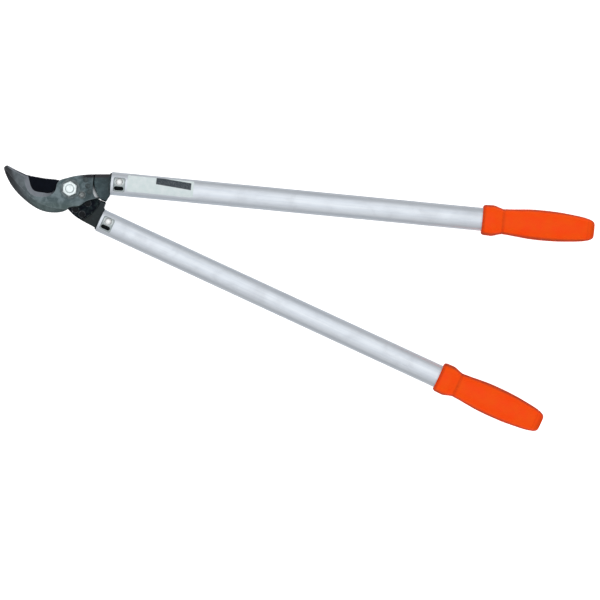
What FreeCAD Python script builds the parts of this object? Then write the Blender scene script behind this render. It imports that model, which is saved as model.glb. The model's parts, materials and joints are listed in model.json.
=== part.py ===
import FreeCAD, Part
import math
import os

# Bypass loppers, jaws closed, lying flat.
# Frame: origin on the pivot axis at the underside of the pivot bolt head, +X along the upper
# handle towards its grip, +Y outwards from the upper handle, +Z up along the pivot axis.
# Plan points below are (x, y) in millimetres from the pivot axis, and heights are z.
V = FreeCAD.Vector
UP = V(0, 0, 1)
NEARLY_STRAIGHT = 0.2       # sine of the turn under which a corner counts as smooth
SAME_HEIGHT = 1e-6          # heights closer than this are the same
OVERSHOOT = 1.0             # how far a cutting shape runs past the face it opens

# ---- driving dimensions: handles ----
HANDLE_ANGLE = 19.27        # between the two handles with the jaws closed
MID_Z = 15.0                # height of the handles' middle plane
UPPER_OFFSET = 12.9         # upper tube axis from the pivot, outwards
LOWER_OFFSET = 21.3         # lower tube axis from the pivot, outwards
TUBE_START = 54.0           # along each handle from the pivot
TUBE_END = 690.0
TUBE_HALF_WIDTH = 15.8      # oval tube
TUBE_HALF_THICK = 10.0
TUBE_WALL = 1.5
TANG_END = 120.0
TANG_HALF_THICK = 5.5
TANG_CLEARANCE = 0.05
TANG_SLOT_AT = (65.0, -6.0)     # middle of the slot through the tang, seen in the window
TANG_SLOT_LENGTH = 13.0
TANG_SLOT_WIDTH = 5.4

# ---- rivet window near the front end of each tube ----
WINDOW_START = 57.5
WINDOW_END = 73.5
WINDOW_LOW = -10.5
WINDOW_HIGH = 8.5
WINDOW_CORNER = 2.5
TUBE_RIVET_ALONG = 65.0
TUBE_RIVET_ACROSS = 2.8
TUBE_RIVET_SHANK_R = 3.0
TUBE_RIVET_HEAD_R = 5.2
TUBE_RIVET_HEAD_HIGH = 3.2
TUBE_RIVET_TAIL_LOW = 2.8
TUBE_RIVET_TAIL_ROUND = 1.2

# ---- label on the upper tube ----
LABEL_START = 76.0
LABEL_END = 166.0
LABEL_LOW = -9.0
LABEL_HIGH = 13.0
LABEL_THICK = 0.2

# ---- pivot stack heights ----
BOLT_HEAD_HIGH = 7.5
WASHER_TOP = 9.4
BLADE_BACK = 9.5
BLADE_FRONT = 14.8
HOOK_BACK = 15.0
HOOK_FRONT = 21.0
NUT_TOP = 31.0
BOLT_TOP = 33.0

# ---- pivot sizes ----
HEX_ACROSS_FLATS = 18.0     # M12 head and nut
BOLT_R = 6.0
BOLT_FIT = 0.05
BUSH_R = 8.0
BUSH_RUNNING_FIT = 0.05
WASHER_R = 14.0
HEX_CHAMFER_DROP = 1.2
HEX_FACE_RATIO = 0.95       # the round face that the chamfer leaves, against the width across flats
BOLT_END_CHAMFER = 1.2

# ---- jaws ----
HOOK_BEVEL_DEPTH = 3.2      # front bevels of the hook
EDGE_LAND = 0.9             # flat rim left above the blade's ground bevel
PARTING_ANGLE = -14.6       # line from the pivot to the crotch, between the two sides
PARTING_GAP = 1.2
BLADE_PARTING_GAP = 0.8
BOSS_CLEAR_R = 18.5         # the upper arm's seat keeps this far from the pivot
LUG_CLEAR_R = 19.0          # the lower arm's lug keeps this far from the pivot
BLOCK_CLEAR_R = 44.0        # the lower arm's raised block passes outside the hook's belly
BLADE_TAIL_R = 43.7
CROTCH_REACH = 51.2         # the parting line ends here, and the two arms turn apart

# ---- arms ----
UPPER_SEAT_LOW = 9.0
ARM_LOW = 7.0
UPPER_ARM_HIGH = 20.2
LOWER_LUG_LOW = 3.5
LOWER_ARM_HIGH = 20.2
SHOULDER_LENGTH = 2.0
SHOULDER_HALF_WIDTH = 12.4
SHOULDER_HALF_THICK = 8.8
ARM_CHAMFER = 1.0
SEAM_GAP = 0.3              # between the hook's tail and the upper arm's block
SEAM_END_REACH = 43.4
SEAT_START_ANGLE = 50.0     # where the upper arm's seat begins round the pivot

# ---- small fasteners ----
HOOK_RIVET_R = 2.8
HOOK_RIVET_HEAD_R = 3.6
HOOK_RIVET_DOME = 0.9
BLADE_RIVET_R = 3.2
BLADE_RIVET_HEAD_R = 4.2
BLADE_RIVET_DOME = 1.8
SINK_DEPTH = 1.8
LOCK_PLATE_THICK = 1.5
LOCK_RING_R = 13.2
LOCK_EAR_R = 5.6
LOCK_SCREW_R = 2.5
LOCK_SCREW_HEAD_R = 4.4
LOCK_SCREW_HEAD_HIGH = 2.6
LOCK_SCREW_DEPTH = 4.5
LOCK_SLOT_HALF_WIDTH = 0.6
LOCK_SCREW_AT = (16.4, -6.4)
LOCK_HEX_FIT = 0.15

# ---- buffers ----
BUFFER_R = 3.5
BUFFER_REACH = 47.4         # distance from the pivot along the parting line
BUFFER_Z = 13.8
BUFFER_DEPTH = 6.0
BUFFER_GAP = 0.2            # left between the two buffers at rest, each side of the line

# ---- grips ----
GRIP_START = 558.0
GRIP_LENGTH = 152.0
GRIP_THICK_RATIO = 0.715
GRIP_SQUARENESS = 2.35
GRIP_SOCKET_GAP = 0.1
GRIP_SOCKET_END = 693.0
PLUG_CAP = 2.5
PLUG_INSERT = 14.0


# ---------------------------------------------------------------- helpers
def spot(point, z=0.0):
    """A plan point at a height."""
    return V(point[0], point[1], z)


def polar(radius, angle):
    """A plan point from its distance and angle about the pivot axis."""
    turn = math.radians(angle)
    return (radius * math.cos(turn), radius * math.sin(turn))


def edge_through(points, z):
    """A straight edge through two points, or a smooth curve through more."""
    if len(points) == 2:
        return Part.makeLine(spot(points[0], z), spot(points[1], z))
    curve = Part.BSplineCurve()
    curve.interpolate([spot(point, z) for point in points])
    return curve.toShape()


def arc_about_pivot(radius, start_angle, end_angle, z):
    """An arc centred on the pivot axis, from one angle to another."""
    middle = (start_angle + end_angle) / 2
    ends = [spot(polar(radius, angle), z) for angle in (start_angle, middle, end_angle)]
    return Part.Arc(*ends).toShape()


def ring_of(runs, z):
    """A closed wire from runs of points, where each run starts where the last one ended."""
    return Part.Wire([edge_through(run, z) for run in runs])


def plate(wire, thickness):
    """A wire's face raised into a plate."""
    return Part.Face(wire).extrude(V(0, 0, thickness))


def inset(run, depths):
    """A run of points moved to its right by a depth for each point."""
    moved = []
    last = len(run) - 1
    for index, (point, depth) in enumerate(zip(run, depths)):
        before = run[max(index - 1, 0)]
        after = run[min(index + 1, last)]
        along = (after[0] - before[0], after[1] - before[1])
        length = math.hypot(*along)
        moved.append((point[0] + depth * along[1] / length, point[1] - depth * along[0] / length))
    return moved


def inset_corner(before, corner, after, depth_in, depth_out):
    """The corner moved right of both its edges, by a depth from each."""
    normals = []
    for start, end in ((before, corner), (corner, after)):
        length = math.hypot(end[0] - start[0], end[1] - start[1])
        normals.append(((end[1] - start[1]) / length, (start[0] - end[0]) / length))
    (ax, ay), (bx, by) = normals
    turn = ax * by - ay * bx
    if abs(turn) < NEARLY_STRAIGHT:
        return (corner[0] + depth_in * ax, corner[1] + depth_in * ay)
    return (corner[0] + (depth_in * by - depth_out * ay) / turn,
            corner[1] + (depth_out * ax - depth_in * bx) / turn)


def bevelled_plate(runs, depths, square_z, bevel_z):
    """A skin from the full outline at one height to the inset outline at another."""
    full = ring_of(runs, square_z)
    small_runs = [inset(run, depth) for run, depth in zip(runs, depths)]
    count = len(runs)
    for index in range(count):
        after = (index + 1) % count
        corner = inset_corner(runs[index][-2], runs[index][-1], runs[after][1],
                              depths[index][-1], depths[after][0])
        small_runs[index][-1] = corner
        small_runs[after][0] = corner
    return Part.makeLoft([full, ring_of(small_runs, bevel_z)], True, True)


def disc(radius, z0, z1, at=(0.0, 0.0)):
    """An upright cylinder between two heights."""
    return Part.makeCylinder(radius, z1 - z0, spot(at, z0))


def oval_rod(half_width, half_thick, start, end):
    """An oval bar along +X, centred on the handle's own axis."""
    curve = Part.Ellipse(V(start, half_width, 0), V(start, 0, half_thick), V(start, 0, 0))
    wire = Part.Wire([curve.toShape()])
    return Part.Face(wire).extrude(V(end - start, 0, 0))


def slab(x0, x1, y0, y1, z0, z1):
    """A box from its limits."""
    return Part.makeBox(x1 - x0, y1 - y0, z1 - z0, V(x0, y0, z0))


def on_upper(shape):
    """Carries a shape from handle axes to the upper handle."""
    placed = shape.copy()
    placed.translate(V(0, UPPER_OFFSET, MID_Z))
    return placed


def turn_to_lower(shape):
    """Turns a shape about the pivot from the lower handle's direction to its place."""
    placed = shape.copy()
    placed.rotate(V(0, 0, 0), UP, -HANDLE_ANGLE)
    return placed


def on_lower(shape):
    """Carries a shape from handle axes to the lower handle."""
    placed = shape.copy()
    placed.translate(V(0, -LOWER_OFFSET, MID_Z))
    return turn_to_lower(placed)


def chamfered(solid, size, z):
    """Breaks the outer edges that lie wholly at one height."""
    edges = []
    for edge in solid.Edges:
        box = edge.BoundBox
        if abs(box.ZMin - z) < SAME_HEIGHT and abs(box.ZMax - z) < SAME_HEIGHT:
            edges.append(edge)
    return solid.makeChamfer(size, edges)


def hex_prism(across_flats, z0, z1):
    """A hexagonal prism about the pivot axis, flats facing +X and -X."""
    corner_r = across_flats / math.sqrt(3)
    corners = [spot(polar(corner_r, 60 * step + 30), z0) for step in range(7)]
    return Part.Face(Part.makePolygon(corners)).extrude(V(0, 0, z1 - z0))


def chamfer_cone(across_flats, z_flat, z_far):
    """The turned cone that rounds off a hexagon's corners towards one face."""
    side = 1 if z_far > z_flat else -1
    corner_r = across_flats / math.sqrt(3)
    face_r = across_flats / 2 * HEX_FACE_RATIO
    rim_r = corner_r + OVERSHOOT
    drop = HEX_CHAMFER_DROP * (rim_r - face_r) / (corner_r - face_r)
    profile = [
        V(0, 0, z_flat), V(face_r, 0, z_flat), V(rim_r, 0, z_flat + side * drop),
        V(rim_r, 0, z_far), V(0, 0, z_far), V(0, 0, z_flat),
    ]
    return Part.Face(Part.makePolygon(profile)).revolve(V(0, 0, 0), UP, 360)


def dome(radius, height, base_z, at, side=1):
    """A low round head on a flat, bulging up or down."""
    ball_r = (radius ** 2 + height ** 2) / (2 * height)
    centre = spot(at, base_z + side * (height - ball_r))
    ball = Part.makeSphere(ball_r, centre)
    low, high = sorted((base_z, base_z + side * height))
    return ball.common(disc(radius + OVERSHOOT, low, high, at))


# ---------------------------------------------------------------- jaws
HOOK_OUTER = [
    (-1.0, -27.5), (-5.5, -30.6), (-12.0, -32.9), (-20.0, -34.0), (-32.0, -33.6), (-44.0, -29.9),
    (-61.0, -19.8), (-74.0, -9.0), (-85.5, 5.5), (-91.5, 17.2),
]
HOOK_TIP = [(-91.5, 17.2), (-91.9, 20.6), (-89.8, 23.0), (-86.0, 23.2)]
HOOK_TOP = [(-86.0, 23.2), (-75.5, 18.7), (-65.0, 14.9), (-59.0, 12.8)]
HOOK_BAY = [(-59.0, 12.8), (-56.3, 6.0), (-53.4, -1.5), (-49.5, -6.2), (-43.0, -8.1), (-34.0, -8.4)]
HOOK_BAY_FLOOR = [(-34.0, -8.4), (-26.0, -7.6), (-21.4, -4.4), (-19.6, 1.5)]
HOOK_BOSS = [(-19.6, 1.5), (-18.2, 7.0), (-14.0, 11.2), (-8.0, 13.8), (0.0, 16.8), (11.0, 19.8),
             (21.0, 21.8), (30.5, 23.0)]
HOOK_SEAM_TOP = [(30.5, 23.0), (30.5, 14.0)]
HOOK_SEAM = [(30.5, 14.0), (32.2, 6.0), (36.4, -2.4), (41.0, -9.3)]
HOOK_TAIL = [(41.0, -9.3), (34.0, -11.3), (27.0, -13.8), (21.5, -16.8), (16.5, -21.4), (9.5, -23.8),
             (3.5, -24.8), (-1.0, -27.5)]
HOOK_RUNS = [
    HOOK_OUTER, HOOK_TIP, HOOK_TOP, HOOK_BAY, HOOK_BAY_FLOOR, HOOK_BOSS, HOOK_SEAM_TOP, HOOK_SEAM,
    HOOK_TAIL,
]
# widths of the front bevels, point by point, measured inwards from the outline
HOOK_BEVELS = [
    [1.2, 3.0, 5.0, 6.5, 8.0, 8.6, 8.6, 8.8, 6.2, 2.2],
    [2.2, 1.7, 1.7, 1.9],
    [1.9, 2.8, 3.6, 4.2],
    [4.2, 6.0, 6.2, 6.2, 6.4, 5.5],
    [5.5, 3.0, 1.2, 0.8],
    [0.8] * 8,
    [0.8, 0.8],
    [0.8, 2.4, 4.6, 4.0],
    [1.2] * 8,
]
HOOK_RIVETS_AT = [(19.8, 14.2), (23.4, 6.2), (26.4, -1.6)]

BLADE_HEEL = [(-1.0, -27.2), (-6.0, -23.6), (-14.0, -20.4), (-24.0, -19.6)]
BLADE_EDGE = [(-24.0, -19.6), (-38.0, -18.4), (-52.0, -14.0), (-64.0, -6.4), (-74.0, 5.0), (-80.0, 17.0)]
BLADE_SPINE = [(-80.0, 17.0), (-70.0, 15.2), (-58.0, 13.2), (-46.0, 11.9), (-32.0, 11.2), (-20.0, 11.0),
               (-11.0, 9.0)]
BLADE_HEEL_GRIND = [0.0, 1.0, 3.5, 6.5]
BLADE_EDGE_GRIND = [6.5, 8.0, 8.5, 8.0, 6.0, 0.0]


# the upper arm's edges: at the crotch and collar, and along its outer side back towards the boss
UPPER_INNER = [(51.4, -8.0), (TUBE_START, -3.2), (TUBE_START, 24.6)]
UPPER_OUTER = [(53.0, 25.4), (43.0, 24.2), (31.0, 23.0), (21.0, 21.6), (13.0, 20.0)]

# the lower arm's edges and its rivets, as points turned from the lower handle's direction
LOWER_OUTER_TURNED = [
    (10.0, -27.0), (15.7, -29.2), (22.8, -31.1), (31.0, -32.2), (42.0, -32.8), (TUBE_START, -34.0),
]
LOWER_INNER_TURNED = [(TUBE_START, -5.4), (51.6, -4.0)]
BLADE_RIVETS_TURNED = [(17.5, -22.5), (28.5, -24.5), (29.5, -7.5)]


def bolt_bore(fit=0.0):
    """The round hole through a jaw for the pivot bush."""
    return disc(BUSH_R + fit, 0, NUT_TOP)


def hook_blade():
    """Front jaw: a hooked counter blade with a boss round the pivot and a riveted tail."""
    body = plate(ring_of(HOOK_RUNS, HOOK_BACK), HOOK_FRONT - HOOK_BEVEL_DEPTH - HOOK_BACK)
    front = bevelled_plate(HOOK_RUNS, HOOK_BEVELS, HOOK_FRONT - HOOK_BEVEL_DEPTH, HOOK_FRONT)
    hook = body.fuse(front)
    hook = hook.cut(bolt_bore())
    for at in HOOK_RIVETS_AT:
        hook = hook.cut(disc(HOOK_RIVET_R, HOOK_BACK - OVERSHOOT, HOOK_FRONT + OVERSHOOT, at))
    screw_low = HOOK_FRONT - LOCK_SCREW_DEPTH
    return hook.cut(disc(LOCK_SCREW_R, screw_low, HOOK_FRONT + OVERSHOOT, LOCK_SCREW_AT))


def parting_line_point(radius, gap):
    """A point at a radius, beside the parting line: positive gaps lie towards the upper handle."""
    return polar(radius, PARTING_ANGLE + math.degrees(math.asin(gap / radius)))


def lower_plan(points):
    """Plan points in the lower handle's direction, turned to their place."""
    turn = math.radians(-HANDLE_ANGLE)
    cosine = math.cos(turn)
    sine = math.sin(turn)
    return [(x * cosine - y * sine, x * sine + y * cosine) for x, y in points]


LOWER_OUTER = lower_plan(LOWER_OUTER_TURNED)
LOWER_INNER = lower_plan(LOWER_INNER_TURNED)
BLADE_RIVETS_AT = lower_plan(BLADE_RIVETS_TURNED)


def angle_of(point):
    """Direction of a plan point seen from the pivot, in degrees."""
    return math.degrees(math.atan2(point[1], point[0]))


def at_radius(low, high, radius):
    """The point on the line through two others that lies at a given distance from the pivot."""
    step = (high[0] - low[0], high[1] - low[1])
    square = step[0] ** 2 + step[1] ** 2
    half = step[0] * low[0] + step[1] * low[1]
    short = low[0] ** 2 + low[1] ** 2 - radius ** 2
    share = (math.sqrt(half ** 2 - square * short) - half) / square
    return (low[0] + share * step[0], low[1] + share * step[1])


def cutting_blade():
    """Rear jaw: a curved blade with a boss round the pivot and a tail on the lower arm."""
    tail_low = at_radius(LOWER_OUTER[2], LOWER_OUTER[3], BLADE_TAIL_R)
    tail_high = parting_line_point(BLADE_TAIL_R, -BLADE_PARTING_GAP)
    boss_r = math.hypot(*BLADE_SPINE[-1])
    boss_low = parting_line_point(boss_r, -BLADE_PARTING_GAP)
    tail_run = [tail_low, LOWER_OUTER[2], LOWER_OUTER[1], BLADE_HEEL[0]]

    def outline(heel_run, edge_run, z):
        return Part.Wire([
            edge_through(heel_run, z),
            edge_through(edge_run, z),
            edge_through(BLADE_SPINE, z),
            arc_about_pivot(boss_r, angle_of(BLADE_SPINE[-1]), angle_of(boss_low), z),
            edge_through([boss_low, tail_high], z),
            arc_about_pivot(BLADE_TAIL_R, angle_of(tail_high), angle_of(tail_low), z),
            edge_through(tail_run, z),
        ])

    land_z = BLADE_FRONT - EDGE_LAND
    full = outline(BLADE_HEEL, BLADE_EDGE, land_z)
    ground_heel = inset(BLADE_HEEL, BLADE_HEEL_GRIND)
    ground_edge = inset(BLADE_EDGE, BLADE_EDGE_GRIND)
    ground_heel[-1] = ground_edge[0]
    ground = outline(ground_heel, ground_edge, BLADE_BACK)
    blade = plate(full, EDGE_LAND).fuse(Part.makeLoft([full, ground], True, True))
    blade = blade.cut(bolt_bore(BUSH_RUNNING_FIT))
    for at in BLADE_RIVETS_AT:
        blade = blade.cut(rivet_with_sunk_head(at))
    return blade


# ---------------------------------------------------------------- arms
def tang():
    """The flat bar that fills the tube between its two side walls."""
    rod = oval_rod(TUBE_HALF_WIDTH - TUBE_WALL - TANG_CLEARANCE,
                   TUBE_HALF_THICK - TUBE_WALL - TANG_CLEARANCE,
                   TUBE_START - SHOULDER_LENGTH, TANG_END)
    flat = slab(0, TANG_END, -TUBE_HALF_WIDTH, TUBE_HALF_WIDTH, -TANG_HALF_THICK, TANG_HALF_THICK)
    bar = rod.common(flat)
    hole = disc(TUBE_RIVET_SHANK_R, -TUBE_HALF_THICK, TUBE_HALF_THICK, (TUBE_RIVET_ALONG, TUBE_RIVET_ACROSS))
    return bar.cut(hole).cut(tang_slot())


def tang_slot():
    """The round-ended slot through the tang beside its rivet."""
    x, y = TANG_SLOT_AT
    end_r = TANG_SLOT_WIDTH / 2
    reach = TANG_SLOT_LENGTH / 2 - end_r
    low, high = -TUBE_HALF_THICK, TUBE_HALF_THICK
    straight = slab(x - reach, x + reach, y - end_r, y + end_r, low, high)
    return straight.fuse([disc(end_r, low, high, (x - reach, y)), disc(end_r, low, high, (x + reach, y))])


def shoulder():
    """The oval collar that the end of the tube butts against."""
    return oval_rod(SHOULDER_HALF_WIDTH, SHOULDER_HALF_THICK, TUBE_START - SHOULDER_LENGTH, TUBE_START)


def buffer_pad(side):
    """A round rubber pad beside the parting line: side 1 on the upper arm, -1 on the lower."""
    start = parting_line_point(BUFFER_REACH, side * BUFFER_GAP)
    direction = polar(1.0, PARTING_ANGLE + 90 * side)
    return Part.makeCylinder(BUFFER_R, BUFFER_DEPTH, spot(start, BUFFER_Z), spot(direction))


def boss_side_of_seam():
    """Everything on the pivot's side of the hook's seam, which the upper arm's block leaves free."""
    seam_low = parting_line_point(SEAM_END_REACH, 0)
    seam = [(x + SEAM_GAP, y) for x, y in HOOK_SEAM[:-1]]
    seam.append((seam_low[0] + SEAM_GAP, seam_low[1]))
    far = TUBE_START
    top = (seam[0][0], far)
    far_side = [seam[-1], (seam[-1][0], -far), (-far, -far), (-far, far), top]
    wire = Part.Wire([
        edge_through([top, seam[0]], 0),
        edge_through(seam, 0),
        Part.makePolygon([spot(point) for point in far_side]),
    ])
    return plate(wire, NUT_TOP)


def upper_arm():
    """Forged arm of the hook side: a seat behind the hook's tail, a block and the tang."""
    seat_low = parting_line_point(BOSS_CLEAR_R, PARTING_GAP)
    crotch = parting_line_point(CROTCH_REACH, PARTING_GAP)
    seat_start = polar(BOSS_CLEAR_R, SEAT_START_ANGLE)
    inner = [crotch] + UPPER_INNER + UPPER_OUTER[:1]

    def outline(z):
        return Part.Wire([
            edge_through([seat_low, crotch], z),
            Part.makePolygon([spot(point, z) for point in inner]),
            edge_through(UPPER_OUTER, z),
            edge_through([UPPER_OUTER[-1], seat_start], z),
            arc_about_pivot(BOSS_CLEAR_R, SEAT_START_ANGLE, angle_of(seat_low), z),
        ])

    seat = plate(outline(UPPER_SEAT_LOW), HOOK_BACK - UPPER_SEAT_LOW)
    block = plate(outline(ARM_LOW), UPPER_ARM_HIGH - ARM_LOW).cut(boss_side_of_seam())
    block = chamfered(block, ARM_CHAMFER, UPPER_ARM_HIGH)
    block = chamfered(block, ARM_CHAMFER, ARM_LOW)
    arm = seat.fuse([block, on_upper(shoulder()), on_upper(tang())])
    arm = arm.cut(buffer_pad(1))
    for at in HOOK_RIVETS_AT:
        arm = arm.cut(disc(HOOK_RIVET_R, 0, HOOK_BACK + OVERSHOOT, at))
    return arm.removeSplitter()


def lower_arm():
    """Forged arm of the blade side: a lug behind the blade's tail, a raised block and the tang."""
    lug_left = at_radius((0.0, 0.0), LOWER_OUTER[0], LUG_CLEAR_R)
    lug_high = parting_line_point(LUG_CLEAR_R, -PARTING_GAP)
    crotch = parting_line_point(CROTCH_REACH, -PARTING_GAP)
    inner = LOWER_OUTER[-1:] + LOWER_INNER + [crotch, lug_high]

    def outline(z):
        return Part.Wire([
            edge_through(LOWER_OUTER, z),
            Part.makePolygon([spot(point, z) for point in inner]),
            arc_about_pivot(LUG_CLEAR_R, angle_of(lug_high), angle_of(lug_left), z),
            edge_through([lug_left, LOWER_OUTER[0]], z),
        ])

    lug = plate(outline(LOWER_LUG_LOW), BLADE_BACK - LOWER_LUG_LOW)
    lug = chamfered(lug, ARM_CHAMFER, LOWER_LUG_LOW)
    block = plate(outline(LOWER_LUG_LOW), LOWER_ARM_HIGH - LOWER_LUG_LOW)
    block = block.cut(disc(BLOCK_CLEAR_R, 0, NUT_TOP))
    block = chamfered(block, ARM_CHAMFER, LOWER_ARM_HIGH)
    arm = lug.fuse([block, on_lower(shoulder()), on_lower(tang())])
    arm = arm.cut(buffer_pad(-1))
    for at in BLADE_RIVETS_AT:
        arm = arm.cut(disc(BLADE_RIVET_R, 0, BLADE_BACK + OVERSHOOT, at))
    return arm.removeSplitter()


# ---------------------------------------------------------------- tubes
def window_tool():
    """The rounded opening through the front wall of a tube."""
    box = slab(WINDOW_START, WINDOW_END, WINDOW_LOW, WINDOW_HIGH, 0, 2 * TUBE_HALF_THICK)
    upright = [edge for edge in box.Edges if edge.BoundBox.ZLength > TUBE_HALF_THICK]
    return box.makeFillet(WINDOW_CORNER, upright)


def tube():
    """Oval drawn tube with its rivet window and the rivet hole in the back wall."""
    outside = oval_rod(TUBE_HALF_WIDTH, TUBE_HALF_THICK, TUBE_START, TUBE_END)
    inside = oval_rod(TUBE_HALF_WIDTH - TUBE_WALL, TUBE_HALF_THICK - TUBE_WALL,
                      TUBE_START - OVERSHOOT, TUBE_END + OVERSHOOT)
    hole = disc(TUBE_RIVET_SHANK_R, -TUBE_HALF_THICK - OVERSHOOT, 0, (TUBE_RIVET_ALONG, TUBE_RIVET_ACROSS))
    return outside.cut(inside).cut(window_tool()).cut(hole)


def tube_rivet():
    """Rivet through the tang and the tube's back wall, its head inside the window."""
    at = (TUBE_RIVET_ALONG, TUBE_RIVET_ACROSS)
    tail_z = TUBE_RIVET_TAIL_LOW - MID_Z
    shank = disc(TUBE_RIVET_SHANK_R, -TUBE_HALF_THICK, TANG_HALF_THICK, at)
    head = dome(TUBE_RIVET_HEAD_R, TUBE_RIVET_HEAD_HIGH, TANG_HALF_THICK, at)
    tail = disc(TUBE_RIVET_HEAD_R, tail_z, OVERSHOOT - TUBE_HALF_THICK, at)
    tail_edges = [edge for edge in tail.Edges if abs(edge.BoundBox.ZMax - tail_z) < SAME_HEIGHT]
    tail = tail.makeFillet(TUBE_RIVET_TAIL_ROUND, tail_edges)
    tail = tail.cut(oval_rod(TUBE_HALF_WIDTH, TUBE_HALF_THICK, TUBE_START, TUBE_END))
    return shank.fuse([head, tail]).removeSplitter()


def tube_label():
    """Thin printed film on the front of the upper tube."""
    outside = oval_rod(TUBE_HALF_WIDTH + LABEL_THICK, TUBE_HALF_THICK + LABEL_THICK, LABEL_START, LABEL_END)
    inside = oval_rod(TUBE_HALF_WIDTH, TUBE_HALF_THICK, LABEL_START - OVERSHOOT, LABEL_END + OVERSHOOT)
    front = slab(LABEL_START, LABEL_END, LABEL_LOW, LABEL_HIGH, 0, 2 * TUBE_HALF_THICK)
    return outside.cut(inside).common(front)


def tube_plug():
    """Plastic plug that closes the tube's end inside the grip."""
    insert = oval_rod(TUBE_HALF_WIDTH - TUBE_WALL - TANG_CLEARANCE,
                      TUBE_HALF_THICK - TUBE_WALL - TANG_CLEARANCE, TUBE_END - PLUG_INSERT, TUBE_END)
    cap = oval_rod(TUBE_HALF_WIDTH, TUBE_HALF_THICK, TUBE_END, TUBE_END + PLUG_CAP)
    return insert.fuse(cap).removeSplitter()


# ---------------------------------------------------------------- grips
# distance from the grip's front, and the half width there
GRIP_STATIONS = [
    (0.0, 18.6), (1.8, 20.1), (5.5, 20.8), (11.0, 20.9), (16.5, 20.5), (21.0, 19.0), (25.5, 17.7),
    (32.0, 17.4), (42.0, 18.1), (54.0, 19.3), (66.0, 20.2), (78.0, 20.5), (90.0, 20.4), (102.0, 20.0),
    (114.0, 19.1), (125.0, 18.0), (134.0, 16.9), (141.5, 15.5), (147.0, 13.8), (150.5, 11.6),
    (GRIP_LENGTH, 9.0),
]
GRIP_INWARD = 0.4           # the palm side is a little fuller
GRIP_SECTION_POINTS = 24


def grip_section(along, half_width):
    """A squarish oval across the grip."""
    points = []
    half_thick = half_width * GRIP_THICK_RATIO
    power = 2 / GRIP_SQUARENESS
    for step in range(GRIP_SECTION_POINTS):
        turn = 2 * math.pi * step / GRIP_SECTION_POINTS
        cosine = math.cos(turn)
        sine = math.sin(turn)
        y = math.copysign(abs(cosine) ** power, cosine) * half_width
        z = math.copysign(abs(sine) ** power, sine) * half_thick
        points.append(V(GRIP_START + along, y, z))
    curve = Part.BSplineCurve()
    curve.interpolate(points, PeriodicFlag=True)
    return Part.Wire([curve.toShape()])


def grip(inward):
    """Flanged moulded grip, closed at its end, over the tube."""
    sections = [grip_section(along, half) for along, half in GRIP_STATIONS]
    body = Part.makeLoft(sections, True, False)
    body.translate(V(0, inward * GRIP_INWARD, 0))
    socket = oval_rod(TUBE_HALF_WIDTH + GRIP_SOCKET_GAP, TUBE_HALF_THICK + GRIP_SOCKET_GAP,
                      GRIP_START - OVERSHOOT, GRIP_SOCKET_END)
    return body.cut(socket)


# ---------------------------------------------------------------- pivot
def pivot_bolt():
    """Hex head bolt, head underneath."""
    head = hex_prism(HEX_ACROSS_FLATS, 0, BOLT_HEAD_HIGH).common(
        chamfer_cone(HEX_ACROSS_FLATS, 0, BOLT_HEAD_HIGH))
    shank = disc(BOLT_R, BOLT_HEAD_HIGH, BOLT_TOP)
    shank = chamfered(shank, BOLT_END_CHAMFER, BOLT_TOP)
    return head.fuse(shank).removeSplitter()


def pivot_nut():
    """Hex nut on the front of the hook."""
    nut = hex_prism(HEX_ACROSS_FLATS, HOOK_FRONT, NUT_TOP)
    nut = nut.common(chamfer_cone(HEX_ACROSS_FLATS, NUT_TOP, HOOK_FRONT))
    return nut.cut(disc(BOLT_R, 0, BOLT_TOP))


def pivot_bush():
    """Plain steel sleeve that the blade turns on."""
    return disc(BUSH_R, WASHER_TOP, HOOK_FRONT).cut(disc(BOLT_R + BOLT_FIT, 0, NUT_TOP))


def rear_washer():
    """Washer between the bolt head and the blade."""
    return disc(WASHER_R, BOLT_HEAD_HIGH, WASHER_TOP).cut(disc(BOLT_R + BOLT_FIT, 0, NUT_TOP))


def lock_plate():
    """Thin plate round the nut that a screw holds, so that the nut can't turn."""
    top = HOOK_FRONT + LOCK_PLATE_THICK
    ring = disc(LOCK_RING_R, HOOK_FRONT, top)
    ear = disc(LOCK_EAR_R, HOOK_FRONT, top, LOCK_SCREW_AT)
    body = ring.fuse(ear).removeSplitter()
    body = body.cut(hex_prism(HEX_ACROSS_FLATS + 2 * LOCK_HEX_FIT, 0, NUT_TOP))
    return body.cut(disc(LOCK_SCREW_R, 0, NUT_TOP, LOCK_SCREW_AT))


def lock_screw():
    """Slotted screw that holds the lock plate."""
    seat = HOOK_FRONT + LOCK_PLATE_THICK
    shank = disc(LOCK_SCREW_R, HOOK_FRONT - LOCK_SCREW_DEPTH, seat, LOCK_SCREW_AT)
    head = dome(LOCK_SCREW_HEAD_R, LOCK_SCREW_HEAD_HIGH, seat, LOCK_SCREW_AT)
    screw = shank.fuse(head).removeSplitter()
    x, y = LOCK_SCREW_AT
    slot_floor = seat + LOCK_SCREW_HEAD_HIGH / 2
    slot = slab(x - LOCK_EAR_R, x + LOCK_EAR_R, y - LOCK_SLOT_HALF_WIDTH, y + LOCK_SLOT_HALF_WIDTH,
                slot_floor, NUT_TOP)
    return screw.cut(slot)


# ---------------------------------------------------------------- rivets
def hook_rivets():
    """Rivets that hold the hook's tail on the upper arm."""
    rivets = []
    for at in HOOK_RIVETS_AT:
        shank = disc(HOOK_RIVET_R, UPPER_SEAT_LOW, HOOK_FRONT, at)
        front = dome(HOOK_RIVET_HEAD_R, HOOK_RIVET_DOME, HOOK_FRONT, at)
        back = dome(HOOK_RIVET_HEAD_R, HOOK_RIVET_DOME, UPPER_SEAT_LOW, at, side=-1)
        rivets.append(shank.fuse([front, back]).removeSplitter())
    return rivets


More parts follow.
